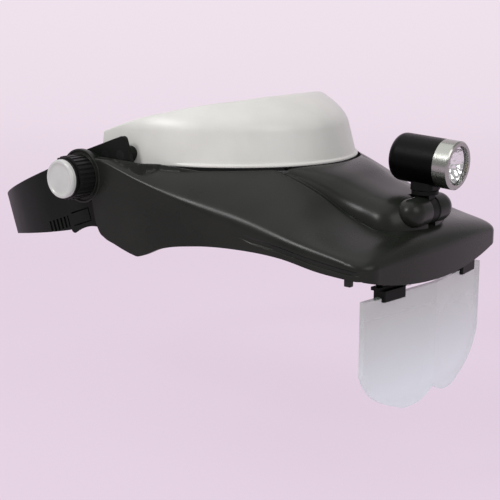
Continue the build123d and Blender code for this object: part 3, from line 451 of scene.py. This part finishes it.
collar_end, collar_flat, collar_wide, collar_fall = -45, 1.0, 3.5, 5
collar_room, collar_soft = 3.6, 0.2
edge_bend, more_bend, front_bend = 1.2, 5.2, 4.0
bend_run, front_run = (45, 130), (142, 160)
steepest, flattest, most_drop = -3, 0.2, 0.4
rim_steps = np.array([[0, 0.25, 0.6, 0.9, 1.15, 1.4, 1.65, 1.9, 2.3, 3.0, 4.2]])
groove_steps = np.array([[0.1, 0.35, 0.6, 0.85, 1.1, 2.7, 2.85, 3.0, 3.15, 3.3, 3.6]])
groove_deep, groove_open, groove_close = 0.8, (0.1, 1.1), (2.7, 3.3)
groove_run, groove_side = (84, 118), (0.15, 0.7)
rim_room, wall_room = 8, 6
roof_lines, wall_lines, bend_lines = 44, 16, 9


def higher(a, b, soft):
    """The higher of two heights, with the corner between them rounded."""
    return soft * np.logaddexp(a / soft, b / soft)


def hump_share(x, y):
    """0 on the hump's middle line and 1 on its outline:
    |x / half|^2.2 + |(y - cap) / reach|^2.2 = 1."""
    half = through(np.maximum(y, hump_cap), hump_run, hump_half)
    ahead = (hump_cap - y).clip(0) / hump_reach
    return ((np.abs(x) / half) ** hump_power + ahead**hump_power) ** (1 / hump_power)


def roof_height(x, y, inset):
    """Roof: edge + rise * (1 - (x / half)^2)^0.72 across, with a shallow valley round the hump.
    The inner face has no valley and lies a wall lower."""
    across = np.clip(np.abs(x) / (through(y, roof_run, roof_half) - inset), 0, 1)
    rise = through(y, roof_run, roof_rise) * (1 - across**2) ** roof_power
    along = step(-y, *valley_rear) * step(y, *valley_front) * (inset == 0)
    valley = np.exp(-(((hump_share(x, y) - valley_line) / valley_width) ** 2)) * along
    edge = through(y, roof_run, edge_height)
    return edge + rise - inset * roof_slant - valley_deep * valley


def opening_edge(x):
    """Front edge of the opening: start - reach * (1 - (x / half)^2)^0.5."""
    return opening_start - opening_reach * np.sqrt(1 - (x / opening_half) ** 2)


def half_outline():
    """Plan of one half of the roof: its outer edge from the lug to the middle of the front, and
    for each point its partner on the edge of the opening, which is straight beside the arm and
    then an ellipse clear of the plate."""
    side_y = np.concatenate([np.linspace(*run) for run in side_runs])
    side_x = through(side_y, roof_run, roof_half)
    turn = np.radians(np.linspace(3, 87, 19))
    turn_x = corner_x + corner_wide * np.cos(turn)
    turn_y = corner_y - corner_long * np.sin(turn)
    front_x = np.concatenate((np.linspace(52.6, 6, 44), slot_sides))
    bowed_y = front_y + front_bow * (front_x / front_half) ** 2
    x = np.concatenate((side_x, turn_x, front_x))
    y = np.concatenate((side_y, turn_y, bowed_y))
    follow = np.interp(-side_y, side_marks, opening_marks)
    arm_room = step(follow, arm_end, oval_start)
    oval = np.sqrt(1 - ((follow + opening_start).clip(0) / opening_reach) ** 2) * opening_half
    side_in = np.minimum(arm_inside * (1 - arm_room) + oval * arm_room, side_x - least_roof)
    turn_in = np.linspace(side_in[-1] - 0.6, corner_in, len(turn))
    front_in = front_x * (1 - front_draw * step(front_x, 10, 52))
    rest_in = np.concatenate((turn_in, front_in))
    inner_x = np.concatenate((side_in, rest_in))
    return x, y, inner_x, np.concatenate((-follow, opening_edge(rest_in)))


def both_halves(half, way=1):
    """Column of a value on both halves of the outline, with the middle point once. A way of -1
    turns its sign on the first half."""
    return np.concatenate((way * half, half[-2::-1]))[:, None]


def skin(inset):
    """Grid of the shell's outer face, or of its inner face at an inset. Along a line of the grid
    the roof runs from the opening to the edge, turns down on a quadratic curve, and the wall
    runs to its foot, with a shallow groove under the edge of the sides."""
    x, y, inner_x, inner_y = half_outline()
    x, y, inner_x, inner_y = (
        both_halves(x, -1), both_halves(y), both_halves(inner_x, -1), both_halves(inner_y)
    )
    along_x, along_y = np.gradient(x[:, 0])[:, None], np.gradient(y[:, 0])[:, None]
    length = np.hypot(along_x, along_y)
    out_x, out_y = along_y / length, -along_x / length
    x = x - out_x * inset
    y = y - out_y * inset
    bend = edge_bend + more_bend * step(-y, *bend_run) + front_bend * step(-y, *front_run)
    bend = bend * (0.5 if inset else 1)

    # Roof, with its collar round the opening, and over the lugs no higher than they are
    reach = np.hypot(x - inner_x, y - inner_y)
    span = (reach - bend).clip(0.3)
    rim = rim_steps * np.minimum(1, span / rim_room)
    rest = rim[:, -1:] + (span - rim[:, -1:]) * np.linspace(0, 1, roof_lines)[None, 1:]
    away = np.concatenate((rim, rest), axis=1)
    roof_x = inner_x + (x - inner_x) * away / reach
    roof_y = inner_y + (y - inner_y) * away / reach
    roof_z = roof_height(roof_x, roof_y, inset)
    rear = through(y, collar_run, collar_top) - inset
    roof_z = np.where(y > collar_end, np.minimum(roof_z, rear), roof_z)
    spread_out = away * np.maximum(1, collar_room / span)
    collar = rear - collar_fall * (spread_out - collar_flat).clip(0)
    roof_z = np.where(spread_out < collar_wide, higher(roof_z, collar, collar_soft), roof_z)
    lug_top = np.sqrt(np.clip(lug_radius**2 - y**2, 0, None))
    roof_z = np.where(y > lug_front, np.minimum(roof_z, lug_top), roof_z)

    # Rounded edge between roof and wall
    last_x, last_y, last_z = roof_x[:, -1:], roof_y[:, -1:], roof_z[:, -1:]
    run = np.hypot(last_x - roof_x[:, -2:-1], last_y - roof_y[:, -2:-1]).clip(0.001)
    slope = ((last_z - roof_z[:, -2:-1]) / run).clip(steepest, flattest)
    corner_z = last_z + slope * np.minimum(bend, reach) * step(-y, *lug_fade)
    front_low = front_foot + foot_bow * (x / front_half) ** 2
    foot = np.where(np.abs(out_y) > facing_front, front_low, through(y, wall_run, wall_foot))
    drop = np.minimum(bend, (corner_z - foot) * most_drop)
    f = np.linspace(0, 1, bend_lines)[None, 1:]
    turn_x = (1 - f) ** 2 * last_x + (2 * f * (1 - f) + f**2) * x
    turn_y = (1 - f) ** 2 * last_y + (2 * f * (1 - f) + f**2) * y
    turn_z = (1 - f) ** 2 * last_z + 2 * f * (1 - f) * corner_z + f**2 * (corner_z - drop)

    # Wall, with its groove
    wall = corner_z - drop - foot
    levels = groove_steps * np.minimum(1, wall / wall_room)
    under = levels[:, -1:] + (wall - levels[:, -1:]) * np.linspace(0, 1, wall_lines)[None, 1:]
    wall_z = corner_z - drop - np.concatenate((levels, under), axis=1)
    depth = step(groove_steps, *groove_open) * (1 - step(groove_steps, *groove_close))
    depth = np.concatenate((depth, np.zeros((1, wall_lines - 1))), axis=1)
    sides_only = step(-y, *groove_run) * (1 - step(np.abs(out_y), *groove_side)) * (inset == 0)
    wall_x = x - out_x * groove_deep * depth * sides_only
    wall_y = y - out_y * groove_deep * depth * sides_only
    grid_x = np.concatenate((roof_x, turn_x, wall_x), axis=1)
    grid_y = np.concatenate((roof_y, turn_y, wall_y), axis=1)
    grid_z = np.concatenate((roof_z, turn_z, wall_z), axis=1)
    return np.stack((grid_x, grid_y, grid_z), axis=-1)


def soft_block(centre, half, turn, power, around):
    """Block with rounded edges: a sphere of angles whose sines and cosines are raised to a small
    power, stretched to the half sizes and turned about Z. With `around` 1 it is an upright pin."""
    steps = 16
    round_about = np.linspace(0, 2 * np.pi, 2 * steps, endpoint=False)[None, :]
    up = np.linspace(-np.pi / 2, np.pi / 2, steps)[:, None]
    x = half[0] * squared(np.cos(up), power) * squared(np.cos(round_about), around)
    y = half[1] * squared(np.cos(up), power) * squared(np.sin(round_about), around)
    z = half[2] * squared(np.sin(up), power) + 0 * round_about
    points = np.stack((x * cos(turn) - y * sin(turn), x * sin(turn) + y * cos(turn), z), axis=-1)
    return points + np.asarray(centre), quads(steps, 2 * steps, round_columns=True)


def joined(*parts):
    """Points and faces of several grids as one."""
    points, faces, start = [], [], 0
    for grid, cells in parts:
        flat = np.asarray(grid).reshape(-1, 3)
        points.append(flat)
        faces.append(np.asarray(cells) + start)
        start += len(flat)
    return np.concatenate(points), np.concatenate(faces)


def hump_surface():
    """Hump for the lamp's hinge. Its lines run forward from the opening, at a share of its half
    width, and end on its outline. It stands over the roof by (1 - r^3.4)^0.5, with r 0 on its
    middle line and 1 on its outline. The lines over the slot of the lamp's tongue drop below the
    roof."""
    outward = np.sin(np.linspace(0, np.pi / 2, hump_lines))
    share = np.concatenate((-outward[::-1], np.zeros(slot_lines), outward))
    slot_x = np.linspace(-slot_half + slot_gap, slot_half - slot_gap, slot_lines)
    one_side = np.full(hump_lines, slot_half)
    fixed = np.concatenate((-one_side, slot_x, one_side))
    rim_y = np.full(len(share), -95.0)
    for again in range(8):  # the width at the opening and the place of its edge hang together
        rim_x = fixed + share * (through(rim_y, hump_run, hump_half) - slot_half)
        rim_y = opening_edge(rim_x) - hump_tuck
    cap_half = float(through(np.array([hump_cap]), hump_run, hump_half)[0])
    cap_x = fixed + share * (cap_half - slot_half)
    across = np.clip(np.abs(cap_x) / cap_half, 0, 1)
    reach = hump_reach * (1 - across**hump_power) ** (1 / hump_power)
    straight = rim_y + (hump_cap - rim_y) * np.linspace(0, 1, hump_rows)[:, None]
    slot_share = slot_start / hump_reach
    rest = slot_share + 0.001 + (0.999 - slot_share) * outward[1::2]
    ahead = np.concatenate(([0.08, 0.16, 0.23, slot_share], rest))
    y = np.concatenate((straight, hump_cap - reach * ahead[:, None]))
    half = np.where(y > hump_cap, through(y, hump_run, hump_half), cap_half)
    x = fixed + share * (half - slot_half)
    foot = roof_height(x, y, 0) - hump_sink
    swell = (1 - hump_share(x, y).clip(0, 1) ** hump_fall) ** 0.5
    z = foot + (through(y, hump_run, hump_top) - foot) * swell
    in_slot = (np.abs(fixed) < slot_half) & (y < hump_cap - slot_start - 0.01)
    z = np.where(in_slot, slot_deep, z)
    grid = np.stack((x, y, z), axis=-1)
    rim = grid[:1] * (1, 1, 0) + (0, 0, 2)
    return np.concatenate((rim, grid))


lug_profile = [(81.2, 2.6), (81.2, 13.7), (84.15, 13.8), (84.15, 12.7), (83.4, 12.6)]
lug_profile += [(83.4, 11.7), (84.15, 11.6), (84.15, 2.6)]
barrel_y, barrel_z, hinge_radius = -151.5, -12.0, 7.3
cheek_start, cheek_end, dome_start, dome_long = 3.35, 11.0, 11.5, 8.0
screw_recess = [(18.7, 3.2), (16.6, 3.2), (16.6, 0)]
edge_round = 0.5
stop_nub = ((62.1, -149.8, -35.6), (1.3, 1.75, 2.6), 0.0, 0.16, 0.16)
clip_post = ((34.8, -153.7, -32.9), (7.0, 2.5, 8.8), radians(6.2), 0.12, 0.12)
screw_boss = ((21.1, -155.5, -32.9), (2.8, 2.8, 8.8), 0.0, 0.12, 1.0)
outer = skin(0.0)
inner = skin(visor_wall)[:, ::-1]
shell = np.concatenate((outer, inner), axis=1)
rows, columns = shell.shape[:2]
shell_faces = quads(rows, columns, round_columns=True)
ends = np.arange(columns // 2 - 1)
for first in (0, (rows - 1) * columns):
    end = np.stack((ends, ends + 1, columns - 2 - ends, columns - 1 - ends), axis=-1) + first
    shell_faces = np.concatenate((shell_faces, end))
hump = hump_surface()
lugs, cheeks, blocks = [], [], []
for side in (-1, 1):
    lug = rounded(lug_profile, edge_round) * (side, 1)
    lugs.append(turned(np.concatenate((lug, lug[:1])), (0, 0, 0)))
    swell = np.radians(np.linspace(0, 64 if side > 0 else 90, 14))
    dome = np.stack(
        (dome_start + dome_long * np.sin(swell), hinge_radius * np.cos(swell)), axis=-1
    )
    flank = [(cheek_start, 0), (cheek_start, hinge_radius), (cheek_end, hinge_radius)]
    tail = screw_recess if side > 0 else []
    cheek = np.concatenate((rounded(flank, edge_round), dome, np.reshape(tail, (-1, 2))))
    cheeks.append(turned(cheek * (side, 1), (0, barrel_y, barrel_z)))
    for (far, forward, up), half, turn, power, around in (stop_nub, clip_post, screw_boss):
        blocks.append(soft_block((side * far, forward, up), half, side * turn, power, around))
hump_piece = (hump, quads(hump.shape[0], hump.shape[1]))
visor_parts = joined((shell, shell_faces), hump_piece, *lugs, *cheeks, *blocks)
visor = build("visor_moulding", *visor_parts, smoke)
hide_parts("visor_shell")
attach(visor, "visor")


# Lens clips and lens plate: black clips, screwed up under the brim, and one clear, slightly hazy
# moulding, whose colour is painted paler towards its lower edge; its darker top is painted shade
# from the brim.
finish(matt_black, "lens_clip_right", "lens_clip_left")
lens_top, lens_foot, haze_size = -0.052, -0.095, 0.02


def clear_plastic(name, top, foot, body, rough):
    """Clear plastic whose colour runs from one at its top to another at its foot; on the lens the
    darker top is painted shade from the brim.
    """
    made, tree, shader, place = material(name)
    parts = tree.nodes.new("ShaderNodeSeparateXYZ")
    tree.links.new(place, parts.inputs[0])
    height = tree.nodes.new("ShaderNodeMapRange")
    height.inputs["From Min"].default_value = lens_top
    height.inputs["From Max"].default_value = lens_foot
    tree.links.new(parts.outputs["Z"], height.inputs["Value"])
    tree.links.new(tint(tree, height.outputs["Result"], top, foot), shader.inputs["Base Color"])
    haze = spread(tree, noise(tree, place, haze_size), rough * 0.8, rough * 1.2)
    tree.links.new(haze, shader.inputs["Roughness"])
    shader.inputs["Alpha"].default_value = body
    return made


# Lens colour: darker at its top as painted shade from the brim above, paler at its foot.
lens_clear = clear_plastic(
    "lens_clear", top=(0.38, 0.44, 0.4), foot=(0.82, 0.91, 0.95), body=0.45, rough=0.16
)
finish(lens_clear, "lens_plate")


# Lamp bracket and lamp: a black tongue and shoe, a black anodised barrel, a bright turned
# bezel, and inside them the window, reflector, light, cells and switch.
finish(matt_black, "lamp_tongue", "lamp_shoe")
finish(plated, "swivel_rivet", "contact_spring", "button_cells")
finish(rubber, "switch_button")
lamp_black = metal("black_anodised", colour=(0.009, 0.0095, 0.009), rough=0.42)
lamp_silver = metal("turned_bezel", colour=(0.36, 0.37, 0.34), rough=0.24)
mirror_cup = metal("mirror_cup", colour=(0.9, 0.9, 0.9), rough=0.05)
facet_size, facet_depth = 0.0032, 0.0009
cup = mirror_cup.node_tree
facets = cup.nodes.new("ShaderNodeTexVoronoi")
facets.inputs["Scale"].default_value = 1 / facet_size
cup.links.new(cup.nodes["Texture Coordinate"].outputs["Object"], facets.inputs["Vector"])
cup_relief = relief(cup, facets.outputs["Distance"], facet_depth)
cup.links.new(cup_relief, cup.nodes["Principled BSDF"].inputs["Normal"])
window_clear = clear_plastic(
    "window_clear", top=(0.8, 0.8, 0.8), foot=(0.8, 0.8, 0.8), body=0.08, rough=0.05
)
led = moulded(
    "led_dome", dark=(0.85, 0.78, 0.4), light=(0.9, 0.84, 0.5), rough=0.1,
    grain=0.002, depth=0.00001, coat=0.8,
)
board = moulded(
    "board_green", dark=(0.05, 0.16, 0.07), light=(0.07, 0.2, 0.1), rough=0.35,
    grain=0.001, depth=0.00002,
)
inner_white = moulded(
    "inner_moulding", dark=(0.42, 0.42, 0.4), light=(0.5, 0.5, 0.48), rough=0.5,
    grain=0.0008, depth=0.00002,
)
finish(lamp_black, "lamp_barrel", "tail_cap")
finish(lamp_silver, "lamp_bezel")
finish(mirror_cup, "lamp_reflector")
finish(window_clear, "lamp_window")
finish(led, "led_emitter")
finish(board, "led_board")
finish(inner_white, "cell_sleeve", "switch_body")


# Studio: a pale lilac sweep of floor and backdrop, a wide soft lamp overhead, a small key lamp
# high beside the right knob, a fill in front, and the camera where the photographer stood.
view_turn, sweep_way = radians(38.9), (0.778, 0.628, 0)
lilac_floor, lilac_near, lilac_far = (0.74, 0.7, 0.73), (0.79, 0.645, 0.778), (1.0, 0.895, 0.97)
paling_start, paling_end, glow_share = 0.4, 2.6, 0.85


def sweep_surface(floor_z, near, far, half, bend, tall):
    """Floor that turns up into a backdrop: straight run, quarter circle, straight rise."""
    turn = np.radians(np.linspace(0, 90, 24))
    run = np.concatenate(([near], far - bend + bend * np.sin(turn), [far]))
    rise = np.concatenate(([0], bend - bend * np.cos(turn), [tall]))
    across = np.array([-half, half])
    along = np.array([cos(view_turn), sin(view_turn)])
    side = np.array([-along[1], along[0]])
    flat = run[:, None, None] * along + across[None, :, None] * side
    up = np.broadcast_to((floor_z + rise)[:, None, None], (len(run), 2, 1))
    grid = np.concatenate((flat, up), axis=2)
    faces = (np.arange(len(run) - 1)[:, None] * 2 + np.array([[0, 2, 3, 1]])).tolist()
    mesh = bpy.data.meshes.new("sweep")
    mesh.from_pydata(grid.reshape(-1, 3).tolist(), [], faces)
    mesh.shade_smooth()
    made = bpy.data.objects.new("sweep", mesh)
    bpy.context.scene.collection.objects.link(made)
    return made


def glowing_lilac():
    """Lilac paper that catches the shadow, and glows where it is seen directly, in gloss or
    through glass, paler towards the far end of the sweep."""
    made, tree, shader, place = material("pale_lilac")
    distance = tree.nodes.new("ShaderNodeVectorMath")
    distance.operation = "DOT_PRODUCT"
    distance.inputs[1].default_value = sweep_way
    tree.links.new(place, distance.inputs[0])
    paling = tree.nodes.new("ShaderNodeMapRange")
    paling.inputs["From Min"].default_value = paling_start
    paling.inputs["From Max"].default_value = paling_end
    tree.links.new(distance.outputs["Value"], paling.inputs["Value"])
    shader.inputs["Base Color"].default_value = (*lilac_floor, 1)
    shader.inputs["Roughness"].default_value = 0.9
    glow = tree.nodes.new("ShaderNodeEmission")
    pale = tint(tree, paling.outputs["Result"], lilac_near, lilac_far)
    tree.links.new(pale, glow.inputs["Color"])
    ray = tree.nodes.new("ShaderNodeLightPath").outputs
    seen = combined(tree, "ADD", ray["Is Camera Ray"], ray["Is Glossy Ray"])
    seen = combined(tree, "ADD", seen, ray["Is Transmission Ray"], clamp=True)
    both = tree.nodes.new("ShaderNodeMixShader")
    tree.links.new(combined(tree, "MULTIPLY", seen, glow_share), both.inputs["Fac"])
    tree.links.new(shader.outputs["BSDF"], both.inputs[1])
    tree.links.new(glow.outputs["Emission"], both.inputs[2])
    tree.links.new(both.outputs["Shader"], tree.nodes["Material Output"].inputs["Surface"])
    return made


def soft_lamp(name, spot, aim, size, power):
    """Square soft box at a spot, turned to shine at another."""
    light = bpy.data.lights.new(name, "AREA")
    light.size = size
    light.energy = power
    made = bpy.data.objects.new(name, light)
    made.location = spot
    way = Vector(aim) - Vector(spot)
    made.rotation_euler = way.to_track_quat("-Z", "Y").to_euler()
    bpy.context.scene.collection.objects.link(made)


sweep = sweep_surface(floor_z=-0.15, near=-2.5, far=2.2, half=3.5, bend=0.8, tall=3.0)
sweep.data.materials.append(glowing_lilac())
soft_lamp("overhead", spot=(-0.15, 0.25, 1.3), aim=(0, -0.05, 0), size=1.6, power=8.0)
soft_lamp("key", spot=(-1.028, 0.161, 0.804), aim=(-0.06, -0.115, -0.02), size=0.32, power=7.0)
soft_lamp("front_fill", spot=(-0.3, -1.35, 0.9), aim=(0, -0.05, -0.02), size=0.9, power=7.0)

world = bpy.data.worlds.new("studio")
world.use_nodes = True
sky = world.node_tree
shine = sky.nodes["Background"]
shine.inputs["Color"].default_value = (0.93, 0.91, 0.93, 1)
shine.inputs["Strength"].default_value = 0.46
beyond = sky.nodes.new("ShaderNodeBackground")
beyond.inputs["Color"].default_value = (*lilac_far, 1)
either = sky.nodes.new("ShaderNodeMixShader")
looking = sky.nodes.new("ShaderNodeLightPath")
sky.links.new(looking.outputs["Is Camera Ray"], either.inputs["Fac"])
sky.links.new(shine.outputs[0], either.inputs[1])
sky.links.new(beyond.outputs[0], either.inputs[2])
sky.links.new(either.outputs[0], sky.nodes["World Output"].inputs["Surface"])
bpy.context.scene.world = world

eye = (-0.4756, -0.4266, 0.0904)
aim = (0.0, -0.0428, -0.0473)
camera = bpy.data.objects.new("camera", bpy.data.cameras.new("camera"))
camera.data.lens = 82.0
camera.data.sensor_width = 36.0
camera.location = eye
camera.rotation_euler = (Vector(aim) - Vector(eye)).to_track_quat("-Z", "Y").to_euler()
bpy.context.scene.collection.objects.link(camera)
bpy.context.scene.camera = camera
bpy.context.scene.view_settings.view_transform = "Standard"
